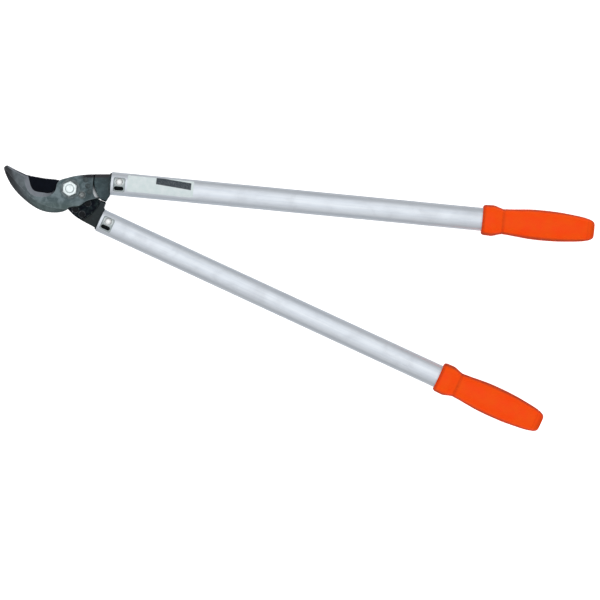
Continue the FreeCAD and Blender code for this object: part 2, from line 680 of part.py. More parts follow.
def rivet_with_sunk_head(at):
    """A shank with a countersunk head flush with the blade's front face."""
    shank = disc(BLADE_RIVET_R, LOWER_LUG_LOW, BLADE_FRONT, at)
    sink = Part.makeCone(BLADE_RIVET_R, BLADE_RIVET_HEAD_R, SINK_DEPTH, spot(at, BLADE_FRONT - SINK_DEPTH))
    return shank.fuse(sink).removeSplitter()


def blade_rivets():
    """Rivets that hold the blade's tail on the lower arm."""
    rivets = []
    for at in BLADE_RIVETS_AT:
        back = dome(BLADE_RIVET_HEAD_R, BLADE_RIVET_DOME, LOWER_LUG_LOW, at, side=-1)
        rivets.append(rivet_with_sunk_head(at).fuse(back).removeSplitter())
    return rivets


# ---------------------------------------------------------------- assembly
def nodes():
    """Every piece in its own named node."""
    return {
        "hook_blade": hook_blade(),
        "cutting_blade": cutting_blade(),
        "upper_arm": upper_arm(),
        "lower_arm": lower_arm(),
        "hook_rivets": Part.makeCompound(hook_rivets()),
        "blade_rivets": Part.makeCompound(blade_rivets()),
        "pivot_bolt": pivot_bolt(),
        "pivot_nut": pivot_nut(),
        "pivot_bush": pivot_bush(),
        "rear_washer": rear_washer(),
        "lock_plate": lock_plate(),
        "lock_screw": lock_screw(),
        "upper_buffer": buffer_pad(1),
        "lower_buffer": buffer_pad(-1),
        "upper_tube": on_upper(tube()),
        "lower_tube": on_lower(tube()),
        "upper_tube_rivet": on_upper(tube_rivet()),
        "lower_tube_rivet": on_lower(tube_rivet()),
        "tube_label": on_upper(tube_label()),
        "upper_tube_plug": on_upper(tube_plug()),
        "lower_tube_plug": on_lower(tube_plug()),
        "upper_grip": on_upper(grip(-1)),
        "lower_grip": on_lower(grip(1)),
    }


def main():
    os.makedirs("parts", exist_ok=True)
    for name, shape in nodes().items():
        shape.exportStep(os.path.join("parts", name + ".step"))
        box = shape.BoundBox
        print(f"{name:18s} solids {len(shape.Solids)} valid {shape.isValid()} volume {shape.Volume:10.1f}"
              f"  z {box.ZMin:.2f} to {box.ZMax:.2f}")


main()
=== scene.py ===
import json
import math

import bmesh
import bpy
import numpy as np
from mathutils import Matrix, Vector
from mathutils.kdtree import KDTree

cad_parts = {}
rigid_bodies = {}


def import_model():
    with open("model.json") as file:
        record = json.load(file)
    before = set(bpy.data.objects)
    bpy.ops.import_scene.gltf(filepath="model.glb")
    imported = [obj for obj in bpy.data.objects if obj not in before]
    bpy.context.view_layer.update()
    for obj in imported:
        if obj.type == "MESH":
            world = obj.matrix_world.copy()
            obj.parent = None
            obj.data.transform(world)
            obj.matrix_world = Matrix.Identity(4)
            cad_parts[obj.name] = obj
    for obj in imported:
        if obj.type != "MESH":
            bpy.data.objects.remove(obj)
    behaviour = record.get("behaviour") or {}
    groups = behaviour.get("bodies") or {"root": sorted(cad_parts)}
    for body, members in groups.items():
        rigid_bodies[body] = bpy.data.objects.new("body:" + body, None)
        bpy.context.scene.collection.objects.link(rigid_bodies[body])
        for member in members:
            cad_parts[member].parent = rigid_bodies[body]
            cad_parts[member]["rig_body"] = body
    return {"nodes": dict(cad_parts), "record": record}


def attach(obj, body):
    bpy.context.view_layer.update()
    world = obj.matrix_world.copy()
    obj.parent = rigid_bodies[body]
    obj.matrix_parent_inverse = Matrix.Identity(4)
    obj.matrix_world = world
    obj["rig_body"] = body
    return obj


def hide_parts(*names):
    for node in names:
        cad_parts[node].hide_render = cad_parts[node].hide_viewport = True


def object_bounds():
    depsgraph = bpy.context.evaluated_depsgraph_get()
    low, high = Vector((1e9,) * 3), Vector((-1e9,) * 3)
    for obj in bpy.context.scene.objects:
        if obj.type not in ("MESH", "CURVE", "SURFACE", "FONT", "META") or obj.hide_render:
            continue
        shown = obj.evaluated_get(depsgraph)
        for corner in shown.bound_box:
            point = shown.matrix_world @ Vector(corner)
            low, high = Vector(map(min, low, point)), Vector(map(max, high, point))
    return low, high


# Looks for a pair of bypass loppers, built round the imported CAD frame. Lengths are metres, except
# where a comment says millimetres.
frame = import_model()
cad_low, cad_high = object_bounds()
MM = 0.001
# points closer than this are one point
MERGE = 2e-6
# edges bent more than this look sharp
SHARP_LOOK = math.radians(50.0)
# spacing of the points that stand for a rim in distance look-ups
RIM_STEP = 0.4 * MM
# how much longer an edge may be for each unit of distance from the nearest rim
EDGE_GROWTH = 0.45
SPLIT_PASSES = 7


# ---------------------------------------------------------------- reading the frame
def vertex_values(piece, name):
    """One vector per vertex of an object's mesh, as an array: its place or its normal."""
    flat = np.empty(len(piece.data.vertices) * 3, np.float32)
    piece.data.vertices.foreach_get(name, flat)
    return flat.reshape(-1, 3).astype(float)


def mesh_points(piece):
    """The vertices of an object's mesh, in metres."""
    return vertex_values(piece, "co")


def points_of(node):
    """A CAD node's vertices, in metres."""
    return mesh_points(frame["nodes"][node])


def handle_axes(tube):
    """The axes of a handle: origin at the tube's front end, X along it, Z up."""
    points = points_of(tube)
    flat = points[:, :2] - points[:, :2].mean(0)
    along = np.linalg.svd(flat, full_matrices=False)[2][0]
    along = along * math.copysign(1.0, along[0])
    reach = flat @ along
    middles = []
    for end in (reach.min(), reach.max()):
        ring = points[np.abs(reach - end) < 1.5 * MM]
        middles.append((ring.min(0) + ring.max(0)) / 2)
    start, stop = (Vector(middle) for middle in middles)
    x_axis = (stop - start).normalized()
    y_axis = Vector((0, 0, 1)).cross(x_axis)
    axes = Matrix((x_axis, y_axis, (0, 0, 1))).transposed().to_4x4()
    return Matrix.Translation(start) @ axes


HANDLES = {side: handle_axes(side + "_tube") for side in ("upper", "lower")}


def body_name(node):
    """The body that a CAD node belongs to."""
    return frame["nodes"][node]["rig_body"]


# ---------------------------------------------------------------- making pieces
def finished_object(bm, name):
    """An object from a bmesh, smooth shaded except across its sharp edges."""
    mesh = bpy.data.meshes.new(name)
    bm.normal_update()
    bm.to_mesh(mesh)
    bm.free()
    mesh.shade_smooth()
    mesh.set_sharp_from_angle(angle=SHARP_LOOK)
    piece = bpy.data.objects.new(name, mesh)
    bpy.context.scene.collection.objects.link(piece)
    return piece


def samples_on(edges, step):
    """Points along edges, for distance look-ups."""
    found = []
    for edge in edges:
        a, b = edge.verts[0].co, edge.verts[1].co
        count = max(1, math.ceil((b - a).length / step))
        found += [a.lerp(b, index / count) for index in range(count + 1)]
    return found


def tree_of(points):
    """A look-up tree of points. One point far away stands in where there are none."""
    points = points or [Vector((9, 9, 9))]
    tree = KDTree(len(points))
    for index, point in enumerate(points):
        tree.insert(point, index)
    tree.balance()
    return tree


def split_long_edges(bm, rims, fine, coarse):
    """Divides triangles until edges near the rims are fine and far from them coarse."""
    for _ in range(SPLIT_PASSES):
        long_edges = []
        for edge in bm.edges:
            length = edge.calc_length()
            if length < fine:
                continue
            middle = (edge.verts[0].co + edge.verts[1].co) / 2
            if length > min(coarse, fine + EDGE_GROWTH * rims.find(middle)[2]):
                long_edges.append(edge)
        if not long_edges:
            return
        bmesh.ops.subdivide_edges(bm, edges=long_edges, cuts=1)
        wide = [face for face in bm.faces if len(face.verts) > 3]
        bmesh.ops.triangulate(bm, faces=wide)


def refined(node, width, fine, coarse, sharp=24.0):
    """A dense copy of a CAD node, its edges broken by a narrow bevel of a width. Edges bent more
    than sharp degrees count. The attributes rim and nook hold the distance in millimetres to the
    nearest outer edge and the nearest inner corner."""
    bm = bmesh.new()
    bm.from_mesh(frame["nodes"][node].data)
    bmesh.ops.remove_doubles(bm, verts=bm.verts, dist=MERGE)
    bmesh.ops.dissolve_limit(bm, angle_limit=math.radians(0.3), verts=bm.verts, edges=bm.edges)
    limit = math.radians(sharp)
    creases = [edge for edge in bm.edges if edge.is_manifold and edge.calc_face_angle() > limit]
    outer = [edge for edge in creases if edge.is_convex]
    inner = [edge for edge in creases if not edge.is_convex]
    rims = tree_of(samples_on(outer, RIM_STEP))
    nooks = tree_of(samples_on(inner, RIM_STEP))
    bmesh.ops.bevel(bm, geom=outer, offset=width, offset_type="OFFSET", segments=2, profile=0.5,
                    affect="EDGES", clamp_overlap=True)
    bmesh.ops.triangulate(bm, faces=bm.faces)
    split_long_edges(bm, rims, fine, coarse)
    rim = [rims.find(vert.co)[2] / MM for vert in bm.verts]
    nook = [nooks.find(vert.co)[2] / MM for vert in bm.verts]
    piece = finished_object(bm, node + "_looks")
    add_attribute(piece, "rim", rim)
    add_attribute(piece, "nook", nook)
    return piece


def add_attribute(piece, name, values):
    """Stores one number per vertex for the materials to read."""
    layer = piece.data.attributes.new(name, "FLOAT", "POINT")
    layer.data.foreach_set("value", np.asarray(values, np.float32))


def move_points(piece, points):
    """Puts the vertices of a new piece at an array of points, in metres."""
    piece.data.vertices.foreach_set("co", points.astype(np.float32).ravel())
    piece.data.update()


def stands_for(piece, node, material):
    """Puts a new piece in a CAD node's place."""
    piece.data.materials.clear()
    piece.data.materials.append(material)
    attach(piece, body_name(node))
    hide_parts(node)


def dress(node, material):
    """Gives a CAD node that stays its material."""
    piece = frame["nodes"][node]
    piece.data.materials.clear()
    piece.data.materials.append(material)


# ---------------------------------------------------------------- material nodes
class Look:
    """A procedural material on one Principled shader, with texture space in millimetres."""

    def __init__(self, name, metallic=0.0, **settings):
        self.material = bpy.data.materials.new(name)
        self.material.use_nodes = True
        self.tree = self.material.node_tree
        self.shader = self.tree.nodes["Principled BSDF"]
        self.shader.inputs["Metallic"].default_value = metallic
        for key, value in settings.items():
            self.shader.inputs[key.replace("_", " ").title().replace("Ior", "IOR")].default_value = value
        coords = self.tree.nodes.new("ShaderNodeTexCoord")
        self.at = self.vector("SCALE", coords.outputs["Object"], scale=1 / MM)

    def node(self, kind, **settings):
        """A new shader node with its options set."""
        made = self.tree.nodes.new(kind)
        for key, value in settings.items():
            setattr(made, key, value)
        return made

    def feed(self, socket, value):
        """Links a socket to an input, or sets the input to a plain value."""
        if isinstance(value, bpy.types.NodeSocket):
            self.tree.links.new(value, socket)
        elif isinstance(value, tuple) and len(value) == 3 and socket.type == "RGBA":
            socket.default_value = (*value, 1.0)
        else:
            socket.default_value = value

    def vector(self, operation, a, b=None, scale=None):
        """Vector arithmetic that gives a vector."""
        made = self.node("ShaderNodeVectorMath", operation=operation)
        self.feed(made.inputs[0], a)
        if b is not None:
            self.feed(made.inputs[1], b)
        if scale is not None:
            made.inputs["Scale"].default_value = scale
        return made.outputs["Vector"]

    def turned(self, axes, stretch=(1, 1, 1)):
        """Texture space along a handle's own axes, from its front end, then scaled per axis."""
        mapping = self.node("ShaderNodeMapping", vector_type="TEXTURE")
        mapping.inputs["Location"].default_value = axes.translation / MM
        mapping.inputs["Rotation"].default_value = axes.to_euler()
        self.feed(mapping.inputs["Vector"], self.at)
        return self.vector("MULTIPLY", mapping.outputs["Vector"], stretch)

    def parts(self, vector):
        """The X, Y and Z of a vector."""
        made = self.node("ShaderNodeSeparateXYZ")
        self.feed(made.inputs[0], vector)
        return made.outputs[0], made.outputs[1], made.outputs[2]

    def math(self, operation, a, b=None, clamp=False):
        """Arithmetic on one or two numbers, kept from 0 to 1 with clamp."""
        made = self.node("ShaderNodeMath", operation=operation, use_clamp=clamp)
        self.feed(made.inputs[0], a)
        if b is not None:
            self.feed(made.inputs[1], b)
        return made.outputs[0]

    def noise(self, size, detail=3.0, rough=0.55, at=None, distortion=0.0):
        """Noise whose features are about size millimetres across, from 0 to 1."""
        made = self.node("ShaderNodeTexNoise")
        self.feed(made.inputs["Vector"], self.at if at is None else at)
        made.inputs["Scale"].default_value = 1 / size
        made.inputs["Detail"].default_value = detail
        made.inputs["Roughness"].default_value = rough
        made.inputs["Distortion"].default_value = distortion
        return made.outputs["Fac"]

    def between(self, value, low, high, to_low=0.0, to_high=1.0):
        """A smooth step from one value to another as the input passes a range."""
        made = self.node("ShaderNodeMapRange", interpolation_type="SMOOTHSTEP")
        for index, item in enumerate((value, low, high, to_low, to_high)):
            self.feed(made.inputs[index], item)
        return made.outputs[0]

    def mix(self, factor, a, b):
        """A mix of two colours."""
        made = self.node("ShaderNodeMix", data_type="RGBA")
        self.feed(made.inputs[0], factor)
        self.feed(made.inputs[6], a)
        self.feed(made.inputs[7], b)
        return made.outputs[2]

    def blend(self, factor, a, b):
        """A mix of two numbers."""
        made = self.node("ShaderNodeMix", data_type="FLOAT")
        self.feed(made.inputs[0], factor)
        self.feed(made.inputs[2], a)
        self.feed(made.inputs[3], b)
        return made.outputs[0]

    def attribute(self, name):
        """A number that add_attribute stored on the mesh."""
        return self.node("ShaderNodeAttribute", attribute_name=name).outputs["Fac"]

    def bumps(self, *layers):
        """Bump from pairs of height socket and depth in millimetres."""
        normal = None
        for height, depth in layers:
            made = self.node("ShaderNodeBump")
            made.inputs["Distance"].default_value = depth * MM
            made.inputs["Strength"].default_value = 1.0
            self.feed(made.inputs["Height"], height)
            if normal is not None:
                self.feed(made.inputs["Normal"], normal)
            normal = made.outputs["Normal"]
        self.feed(self.shader.inputs["Normal"], normal)

    def done(self, colour, roughness, metallic=None):
        """Feeds the shader and gives back the material."""
        self.feed(self.shader.inputs["Base Color"], colour)
        self.feed(self.shader.inputs["Roughness"], roughness)
        if metallic is not None:
            self.feed(self.shader.inputs["Metallic"], metallic)
        return self.material


def srgb(red, green, blue):
    """A linear colour from an 8-bit display colour."""
    def linear(value):
        share = value / 255
        return share / 12.92 if share <= 0.04045 else ((share + 0.055) / 1.055) ** 2.4
    return (linear(red), linear(green), linear(blue))


# ---------------------------------------------------------------- materials
def hook_steel():
    """Forged counter blade: mottled grey-green scale, its colour drifting from tip to tail, painted
    shade along the outer edge, towards the tail and along the top edge, a ground bevel round the bay and
    a painted highlight at the joint."""
    look = Look("hook_steel", metallic=0.85)
    cloud = look.noise(9.0, detail=4.0, rough=0.6, distortion=0.6)
    fine = look.noise(1.1, detail=3.0)
    base = look.mix(look.between(cloud, 0.34, 0.66), srgb(80, 95, 98), srgb(110, 124, 128))
    base = look.mix(look.between(fine, 0.45, 0.8, 0.0, 0.3), base, srgb(70, 78, 80))
    x, y, _ = look.parts(look.at)
    base = look.mix(look.between(x, -72.0, -34.0, 0.75, 0.0), base, srgb(90, 94, 98))
    base = look.mix(look.between(y, -26.0, -15.0, 0.5, 0.0), base, srgb(82, 96, 92))
    # painted shade along the hook's outer bevel, broken into patches
    patches = look.between(look.noise(5.0, detail=4.0), 0.2, 0.5, 0.8, 1.0)
    broken = look.math("MULTIPLY", look.attribute("band_shade"), patches)
    base = look.mix(broken, base, srgb(50, 51, 54))
    # painted shade: the tail darker towards the arm
    base = look.mix(look.attribute("dark"), base, srgb(40, 50, 54))
    # painted shade along the top edge near the arm
    base = look.mix(look.attribute("edge"), base, srgb(34, 31, 35))
    base = look.mix(look.attribute("ground"), base, srgb(150, 155, 163))
    # painted highlight on the bare ground bevel at the tail's end
    base = look.mix(look.attribute("streak"), base, srgb(222, 226, 228))
    scuffs = look.between(look.noise(1.6, detail=4.0), 0.35, 0.7, 0.15, 0.8)
    wear = look.math("SUBTRACT", scuffs, look.math("MULTIPLY", look.attribute("rim"), 1.3), clamp=True)
    base = look.mix(wear, base, srgb(140, 147, 150))
    rough = look.blend(look.between(cloud, 0.3, 0.7), 0.5, 0.34)
    rough = look.blend(wear, rough, 0.26)
    lines = look.noise(1.0, detail=2.0, at=look.vector("MULTIPLY", look.at, (3.2, 0.35, 0.5)))
    look.bumps((cloud, 0.25), (fine, 0.06), (lines, 0.03))
    return look.done(base, rough)


def blade_coat():
    """Slippery black coating over steel, worn at the edges, with a bare ground face on the rear."""
    look = Look("blade_coat", specular_ior_level=0.05)
    cloud = look.noise(11.0, detail=3.0)
    fine = look.noise(0.7, detail=2.0)
    x, _, _ = look.parts(look.at)
    coat = look.mix(look.between(cloud, 0.35, 0.7), srgb(2, 6, 16), srgb(8, 14, 24))
    # painted sheen: lighter mottled patches on the tail
    blotch = look.between(look.noise(5.0, detail=5.0, rough=0.6), 0.42, 0.7, 0.0, 0.75)
    blotch = look.math("MULTIPLY", blotch, look.between(x, 2.0, 12.0))
    coat = look.mix(blotch, coat, srgb(40, 54, 54))
    scuffs = look.between(look.noise(2.2, detail=4.0), 0.25, 0.65, 0.1, 0.8)
    wear = look.math("SUBTRACT", scuffs, look.math("MULTIPLY", look.attribute("rim"), 0.8), clamp=True)
    wear = look.math("MULTIPLY", wear, look.between(x, 2.0, 12.0, 1.0, 0.3))
    bare = look.math("MAXIMUM", wear, look.attribute("ground"))
    streaks = look.noise(1.0, detail=2.0, at=look.vector("MULTIPLY", look.at, (4.0, 0.3, 0.5)))
    steel = look.mix(look.between(streaks, 0.3, 0.7), srgb(150, 152, 158), srgb(205, 207, 212))
    base = look.mix(bare, coat, steel)
    rough = look.blend(bare, look.between(cloud, 0.3, 0.7, 0.32, 0.46), 0.3)
    look.bumps((cloud, 0.08), (fine, 0.02), (streaks, 0.012))
    return look.done(base, rough, bare)


def arm_paint(name, dark, light, streak):
    """Lacquered forging: slight orange peel, chips along the edges, darker towards the inner corners,
    painted shade towards the tube and along the outer top edge, a bare tang inside the tube and a
    painted highlight round its rivet."""
    look = Look(name, specular_ior_level=0.22, coat_weight=0.08, coat_roughness=0.2)
    cloud = look.noise(12.0, detail=4.0, rough=0.6, distortion=0.4)
    peel = look.noise(0.9, detail=2.0)
    base = look.mix(look.between(cloud, 0.38, 0.66), dark, light)
    base = look.mix(look.between(look.noise(4.0, detail=5.0), 0.5, 0.8, 0.0, 0.6), base, streak)
    # painted shade, darker towards the tube
    base = look.mix(look.math("MULTIPLY", look.attribute("shade_to_tube"), 0.55), base, srgb(20, 36, 40))
    # painted shade along the upper arm's outer top edge
    base = look.mix(look.math("MULTIPLY", look.attribute("band_shade"), 0.9), base, srgb(36, 32, 36))
    # darker within 2 mm of the inner corners
    corner_darkening = look.between(look.attribute("nook"), 0.0, 2.0, 0.25, 0.0)
    base = look.mix(corner_darkening, base, srgb(16, 15, 14))
    chips = look.between(look.noise(1.9, detail=5.0, rough=0.65), 0.52, 0.68, 0.0, 0.7)
    wear = look.math("SUBTRACT", chips, look.math("MULTIPLY", look.attribute("rim"), 1.6), clamp=True)
    base = look.mix(wear, base, srgb(104, 110, 110))
    tang = look.attribute("tang")
    bare = look.mix(look.between(peel, 0.3, 0.7), srgb(140, 150, 151), srgb(166, 175, 176))
    # painted highlight round the rivet on the bare tang
    bare = look.mix(look.attribute("rubbed_and_highlight"), bare, srgb(222, 230, 229))
    base = look.mix(tang, base, bare)
    rough = look.blend(wear, look.between(cloud, 0.3, 0.7, 0.28, 0.44), 0.42)
    look.bumps((cloud, 0.3), (peel, 0.05), (wear, -0.03))
    return look.done(base, rough, look.math("MAXIMUM", look.math("MULTIPLY", wear, 0.8), tang))


def plated_steel(name, tint, rough_low, rough_high, dull=0.25, metal=1.0):
    """Zinc plated or bright steel: fine satin grain and faint stains, darker by the share dull."""
    look = Look(name, metallic=metal)
    cloud = look.noise(3.5, detail=4.0)
    fine = look.noise(0.35, detail=2.0)
    stain = tuple(channel * (1 - dull) for channel in tint)
    base = look.mix(look.between(cloud, 0.35, 0.7), tint, stain)
    base = look.mix(look.between(fine, 0.5, 0.8, 0.0, 0.25), base, stain)
    look.bumps((cloud, 0.03), (fine, 0.012))
    return look.done(base, look.between(cloud, 0.3, 0.7, rough_low, rough_high))


def tube_aluminium(name, axes):
    """Satin anodised drawn tube: fine lengthwise lines, scratches, faint smears, nicked edges and
    a rough inside, painted dark as shade."""
    look = Look(name, metallic=1.0)
    lengthwise = look.turned(axes, (0.012, 1.0, 1.0))
    lines = look.noise(0.5, detail=3.0, rough=0.6, at=lengthwise)
    broad = look.noise(3.5, detail=2.0, at=look.turned(axes, (0.03, 1.0, 1.0)))
    cloud = look.noise(26.0, detail=4.0, rough=0.6, distortion=0.5)
    base = look.mix(look.between(broad, 0.3, 0.7), srgb(220, 227, 234), srgb(230, 236, 241))
    base = look.mix(look.between(lines, 0.45, 0.8, 0.0, 0.3), base, srgb(188, 194, 202))
    base = look.mix(look.between(cloud, 0.45, 0.75, 0.0, 0.3), base, srgb(202, 206, 211))
    scratch_space = look.turned(axes, (0.06, 1.6, 1.6))
    scratch = look.between(look.noise(1.4, detail=1.0, at=scratch_space), 0.72, 0.78)
    base = look.mix(look.math("MULTIPLY", scratch, 0.35), base, srgb(180, 184, 190))
    rough = look.blend(look.between(cloud, 0.35, 0.7), 0.34, 0.44)
    rough = look.math("ADD", rough, look.math("MULTIPLY", lines, 0.06))
    inside = look.attribute("inside")
    # painted shade: the inside of the tube darkened
    dull = look.mix(look.between(lines, 0.3, 0.7), srgb(58, 64, 66), srgb(84, 90, 92))
    base = look.mix(inside, base, dull)
    nicked = look.between(look.noise(1.5, detail=4.0), 0.3, 0.6, 0.3, 0.9)
    cut = look.math("SUBTRACT", nicked, look.math("MULTIPLY", look.attribute("rim"), 2.2), clamp=True)
    base = look.mix(cut, base, srgb(176, 180, 184))
    rough = look.blend(inside, rough, 0.65)
    look.bumps((lines, 0.02), (broad, 0.03), (cloud, 0.12))
    return look.done(base, rough)


# the dark bar of the label, in millimetres along and across the upper handle: its middle, its
# slope, and the half length and half width where its edge starts and ends
BAR_AT = (84.0, 7.4)
BAR_SLOPE = -0.075
BAR_HALF_LENGTH = (23.4, 24.2)
BAR_HALF_WIDTH = (4.4, 5.0)


def label_film():
    """Pale printed film with one plain dark bar."""
    look = Look("label_film", specular_ior_level=0.25, coat_weight=0.05, coat_roughness=0.2)
    x, y, _ = look.parts(look.turned(HANDLES["upper"]))
    cloud = look.noise(8.0, detail=3.0)
    paper = look.mix(look.between(cloud, 0.3, 0.7), srgb(206, 219, 219), srgb(217, 226, 226))
    along = look.math("SUBTRACT", x, BAR_AT[0])
    level = look.math("SUBTRACT", y, look.math("MULTIPLY", along, BAR_SLOPE))
    across = look.math("SUBTRACT", level, BAR_AT[1])
    bar_x = look.between(look.math("ABSOLUTE", along), *BAR_HALF_LENGTH, 1.0, 0.0)
    bar_y = look.between(look.math("ABSOLUTE", across), *BAR_HALF_WIDTH, 1.0, 0.0)
    bar = look.math("MULTIPLY", bar_x, bar_y)
    rubbed_and_highlight = look.between(look.noise(1.2, detail=5.0), 0.3, 0.55, 0.86, 1.0)
    base = look.mix(look.math("MULTIPLY", bar, rubbed_and_highlight), paper, srgb(54, 62, 68))
    look.bumps((look.noise(0.6), 0.003), (cloud, 0.02))
    return look.done(base, look.between(cloud, 0.3, 0.7, 0.3, 0.42))


def grip_plastic(name, axes):
    """Moulded orange plastic: fine sparked grain, painted shade on the sides, the cap end and the
    flange, darker sunk rings, scuffs.
    """
    look = Look(name, specular_ior_level=0.1)
    cloud = look.noise(16.0, detail=4.0, rough=0.55)
    grain = look.noise(0.55, detail=2.0)
    base = look.mix(look.between(cloud, 0.3, 0.72), srgb(250, 70, 0), srgb(246, 80, 2))
    base = look.mix(look.between(grain, 0.5, 0.85, 0.0, 0.22), base, srgb(206, 52, 0))
    # painted shade on the sides and the cap end, broken into blotches
    blotch = look.between(look.noise(7.0, detail=5.0, rough=0.6), 0.3, 0.7, 0.7, 1.0)
    shade = look.math("MULTIPLY", look.attribute("side"), blotch)
    base = look.mix(shade, base, srgb(112, 40, 8))
    # darker in the sunk rings, and painted shade along the flange's front edge
    groove_and_flange_darkening = look.between(look.noise(3.0, detail=4.0), 0.25, 0.6, 0.5, 1.0)
    groove_and_flange_darkening = look.math("MULTIPLY", look.attribute("groove"), groove_and_flange_darkening)
    base = look.mix(groove_and_flange_darkening, base, srgb(128, 38, 8))
    scuff_space = look.turned(axes, (0.5, 1.2, 1.2))
    scuff = look.between(look.noise(2.4, detail=5.0, rough=0.7, at=scuff_space), 0.62, 0.74, 0.0, 0.2)
    base = look.mix(scuff, base, srgb(252, 120, 50))
    rough = look.blend(scuff, look.between(cloud, 0.3, 0.7, 0.42, 0.55), 0.62)
    look.bumps((grain, 0.06), (cloud, 0.15))
    return look.done(base, rough)


def dull_plastic(name, tone, light):
    """Plain moulded plastic or rubber with fine grain and dust."""
    look = Look(name, specular_ior_level=0.4)
    cloud = look.noise(3.0, detail=4.0)
    grain = look.noise(0.4, detail=2.0)
    base = look.mix(look.between(cloud, 0.35, 0.7), tone, light)
    look.bumps((grain, 0.04), (cloud, 0.06))
    return look.done(base, look.between(cloud, 0.3, 0.7, 0.62, 0.8))


# ---------------------------------------------------------------- pieces
def normals_of(piece):
    """The normals at the vertices of an object's mesh."""
    return vertex_values(piece, "normal")


def along_handle(points, axes):
    """Points in millimetres along, across and above a handle, from its tube's front end."""
    turn = np.array(axes.to_3x3())
    return (points - np.array(axes.translation)) @ turn / MM


def ramp(value, low, high):
    """A smooth step of an array from 0 at low to 1 at high."""
    share = np.clip((value - low) / (high - low), 0, 1)
    return share * share * (3 - 2 * share)


def on_top(normals):
    """Full on faces that look up, faint on walls."""
    return 0.3 + 0.7 * ramp(normals[:, 2], 0.1, 0.5)


def outwardness(facing, local):
    """How far normals point away from a handle's middle line, from -1 inward to 1 outward."""
    return (facing[:, 1:] * local[:, 1:]).sum(1) / np.linalg.norm(local[:, 1:], axis=1)


def levels_of(node):
    """The heights at which a CAD node has many vertices, lowest first."""
    heights, counts = np.unique(points_of(node)[:, 2].round(6), return_counts=True)
    return heights[counts > 0.25 * counts.max()]


def edge_samples(node, level):
    """Plan points along a CAD node's outline at one height, in millimetres."""
    points = points_of(node)
    return points[np.abs(points[:, 2] - level) < MERGE][:, :2] / MM


# plan points in millimetres between the hook's outer edge and its bay or top edge
HOOK_MIDLINE = ((-92, 18.5), (-85.5, 14), (-74, 5), (-61, -3), (-44, -19), (0, -19))
# how far in the painted shade along the outer edge reaches, by distance along X
HOOK_BAND = ((-92, 16), (-82, 12), (-72, 8.5), (-60, 6), (-48, 4), (-36, 2.4), (0, 1.2))
# how dark that painted shade is, by distance along X
HOOK_BAND_TONE = ((-92, 1.0), (-84, 0.9), (-74, 0.7), (-60, 0.6), (-30, 0.6), (0, 0.4))


def hook_outer_band(at, outline):
    """The painted shade along the hook's outer edge, by distance from that edge."""
    x = at[:, 0]
    below = outline[:, 1] < np.interp(outline[:, 0], *zip(*HOOK_MIDLINE))
    outer = tree_of([Vector((*point, 0)) for point in outline[below & (outline[:, 0] < 0)]])
    reach = np.array([outer.find(Vector((*point, 0)))[2] for point in at[:, :2]])
    width = np.interp(x, *zip(*HOOK_BAND))
    tone = np.interp(x, *zip(*HOOK_BAND_TONE))
    return tone * (1 - ramp(reach, width - 4, width + 1))


def hook_ground(at, normals):
    """The bevel ground round the bay, and a painted highlight on the ground bevel at the tail's end."""
    x, y = at[:, 0], at[:, 1]
    tilt = 1 - normals[:, 2]
    bevel = ramp(tilt, 0.02, 0.06) * (tilt < 0.6)
    bay = frame["record"]["physics"]["openings"][0]
    middle = np.mean(bay["box_m"], axis=0)[:2] / MM
    facing = ((middle - at[:, :2]) * normals[:, :2]).sum(1)
    ground = 0.75 * bevel * (facing > 0) * ramp(-x, 8, 20)
    # painted highlight on the bevel at the tail's end
    streak = bevel * (normals[:, 0] > 0) * ramp(x, 29, 33) * ramp(-y, -10, -4)
    return ground, streak * (1 - ramp(-y, 6.5, 9.5))


def hook():
    """The counter blade: outer edge darkened as painted shade, bay bevel ground, tail darkened towards
    the arm as painted shade.
    """
    piece = refined("hook_blade", 0.25 * MM, 0.5 * MM, 2.2 * MM, sharp=14.0)
    normals = normals_of(piece)
    at = mesh_points(piece) / MM
    x, y = at[:, 0], at[:, 1]
    outline = edge_samples("hook_blade", levels_of("hook_blade")[-2])
    add_attribute(piece, "band_shade", hook_outer_band(at, outline))
    ground, streak = hook_ground(at, normals)
    add_attribute(piece, "ground", ground)
    add_attribute(piece, "streak", streak)
    # painted shade along the top edge near the arm, strongest on faces that look up
    top = outline[(outline[:, 0] > -2) & (outline[:, 1] > 12)]
    top_y = np.interp(x, *top[np.argsort(top[:, 0])].T)
    edge = (1 - ramp(top_y - y, 3.6, 6.0)) * ramp(x, 8, 20)
    # painted shade: the tail darker towards the arm
    add_attribute(piece, "dark", 0.55 * ramp(x, 8, 34) * (normals[:, 2] > -0.5))
    add_attribute(piece, "edge", 0.9 * edge * on_top(normals))
    stands_for(piece, "hook_blade", hook_steel())


# the blade's heel under the crotch of the upper arm, millimetres, and how far it is filled out
HEEL_AT = (39.5, -11.4)
HEEL_RISE = 1.0 * MM


def blade():
    """The cutting blade: bare steel on the grind of its rear, its heel filled out."""
    piece = refined("cutting_blade", 0.2 * MM, 0.5 * MM, 2.2 * MM, sharp=20.0)
    normals = normals_of(piece)
    at = mesh_points(piece)
    ground = (normals[:, 2] < -0.4) & (normals[:, 2] > -0.97) & (at[:, 0] < 0)
    near = 1 - ramp(np.abs(at[:, 0] / MM - HEEL_AT[0]), 1.5, 5.5)
    at[:, 1] += HEEL_RISE * near * ramp(at[:, 1] / MM, HEEL_AT[1] - 3.0, HEEL_AT[1])
    move_points(piece, at)
    add_attribute(piece, "ground", ground.astype(float))
    stands_for(piece, "cutting_blade", blade_coat())


# the painted highlight round the rivet on the tang, half length and half width in millimetres
HIGHLIGHT_HALF = (7.0, 5.2)


